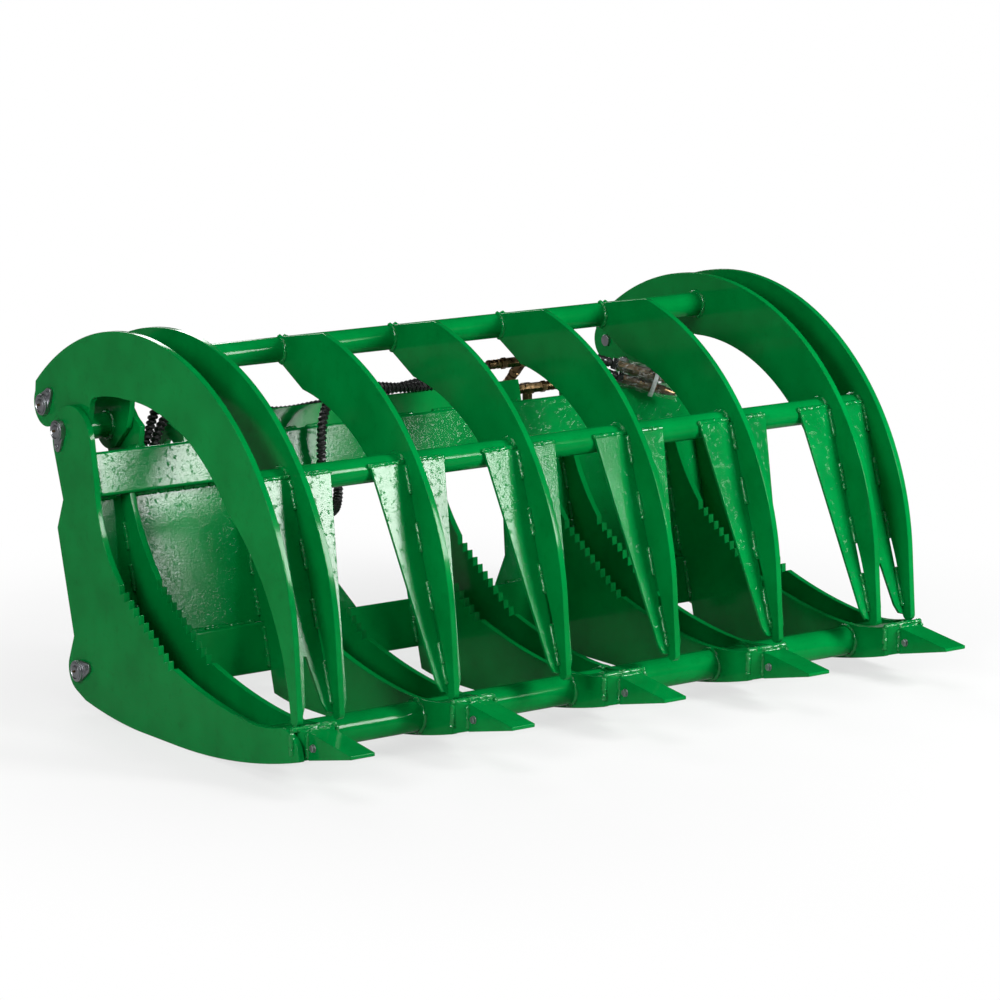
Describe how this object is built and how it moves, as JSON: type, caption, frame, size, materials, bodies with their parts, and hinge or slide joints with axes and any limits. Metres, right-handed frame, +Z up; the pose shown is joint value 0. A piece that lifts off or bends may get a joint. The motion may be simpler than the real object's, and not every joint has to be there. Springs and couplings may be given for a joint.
{
  "type": "root grapple",
  "caption": "Root grapple for a loader: a wide row of serrated tines with wear tips under a hinged clamshell jaw of curved arms, worked by hydraulic cylinders.",
  "frame": {"origin": "on the ground under the middle of the grapple", "axes": "+X across the grapple to its right seen from the front left, +Y to the loader behind, -Y to the tine tips, +Z up"},
  "size_m": [1.596, 1.126, 0.79],
  "materials": {
    "green_paint": "glossy green powder coat over welded steel",
    "zinc_steel": "bright zinc plate",
    "brass": "yellow chromate and brass",
    "chrome": "hard chrome, polished",
    "black_paint": "semi-gloss black paint",
    "hose_rubber": "black hose in a spiral guard"
  },
  "bodies": {
    "frame": {"back_panel_left": "green_paint", "back_panel_right": "green_paint", "base_pins": "zinc_steel", "cylinder_lugs": "green_paint", "hose_couplers": "zinc_steel", "hose_guard_plate": "green_paint", "hose_left_lower": "hose_rubber", "hose_left_upper": "hose_rubber", "hose_rail": "green_paint", "hose_right_lower": "hose_rubber", "hose_right_upper": "hose_rubber", "hose_supply_lower": "hose_rubber", "hose_supply_upper": "hose_rubber", "hose_tees": "brass", "loader_hook_left": "green_paint", "loader_hook_right": "green_paint", "lower_beam": "green_paint", "lower_tube": "green_paint", "pivot_ears": "green_paint", "pivot_pins": "zinc_steel", "side_plate_left": "green_paint", "side_plate_right": "green_paint", "tine_noses": "green_paint", "tine_plate_1_right": "green_paint", "tine_plate_2_left": "green_paint", "tine_plate_2_right": "green_paint", "tine_plate_3_left": "green_paint", "tine_plate_3_right": "green_paint", "tine_plate_4_left": "green_paint", "tine_plate_4_right": "green_paint", "tine_plate_5_left": "green_paint", "top_beam": "green_paint", "wear_tip_1": "green_paint", "wear_tip_2": "green_paint", "wear_tip_3": "green_paint", "wear_tip_4": "green_paint", "wear_tip_5": "green_paint"},
    "jaw": {"jaw_arm_1": "green_paint", "jaw_arm_2": "green_paint", "jaw_arm_3": "green_paint", "jaw_arm_4": "green_paint", "jaw_arm_5": "green_paint", "jaw_arm_6": "green_paint", "jaw_arm_7": "green_paint", "jaw_arm_8": "green_paint", "jaw_end_gussets": "green_paint", "jaw_gussets": "green_paint", "upper_cross_tube": "green_paint", "front_cross_tube": "green_paint", "pivot_tubes": "green_paint", "rod_pins": "zinc_steel"},
    "barrel_left": {"cylinder_barrel_left": "black_paint"},
    "rod_left": {"cylinder_rod_left": "chrome"},
    "barrel_right": {"cylinder_barrel_right": "black_paint"},
    "rod_right": {"cylinder_rod_right": "chrome"}
  },
  "joints": [
    {"name": "jaw_pivot", "type": "hinge", "parent": "frame", "child": "jaw", "pos_m": [0, 0.432, 0.564], "axis": [-1, 0, 0], "range_deg": [0, 50]},
    {"name": "barrel_swing_left", "type": "hinge", "parent": "frame", "child": "barrel_left", "pos_m": [-0.728, 0.372, 0.081], "axis": [-1, 0, 0], "range_deg": [0, 3.25]},
    {"name": "rod_stroke_left", "type": "slide", "parent": "barrel_left", "child": "rod_left", "axis": [0, -0.2672, -0.9636], "range_m": [0, 0.075]},
    {"name": "barrel_swing_right", "type": "hinge", "parent": "frame", "child": "barrel_right", "pos_m": [0.728, 0.372, 0.081], "axis": [-1, 0, 0], "range_deg": [0, 3.25]},
    {"name": "rod_stroke_right", "type": "slide", "parent": "barrel_right", "child": "rod_right", "axis": [0, -0.2672, -0.9636], "range_m": [0, 0.075]}
  ],
  "couplings": [
    {"joint": "barrel_swing_left", "follows": "jaw_pivot", "ratio": 0.064},
    {"joint": "rod_stroke_left", "follows": "jaw_pivot", "m_per_rad": 0.085371},
    {"joint": "barrel_swing_right", "follows": "jaw_pivot", "ratio": 0.064},
    {"joint": "rod_stroke_right", "follows": "jaw_pivot", "m_per_rad": 0.085371}
  ]
}
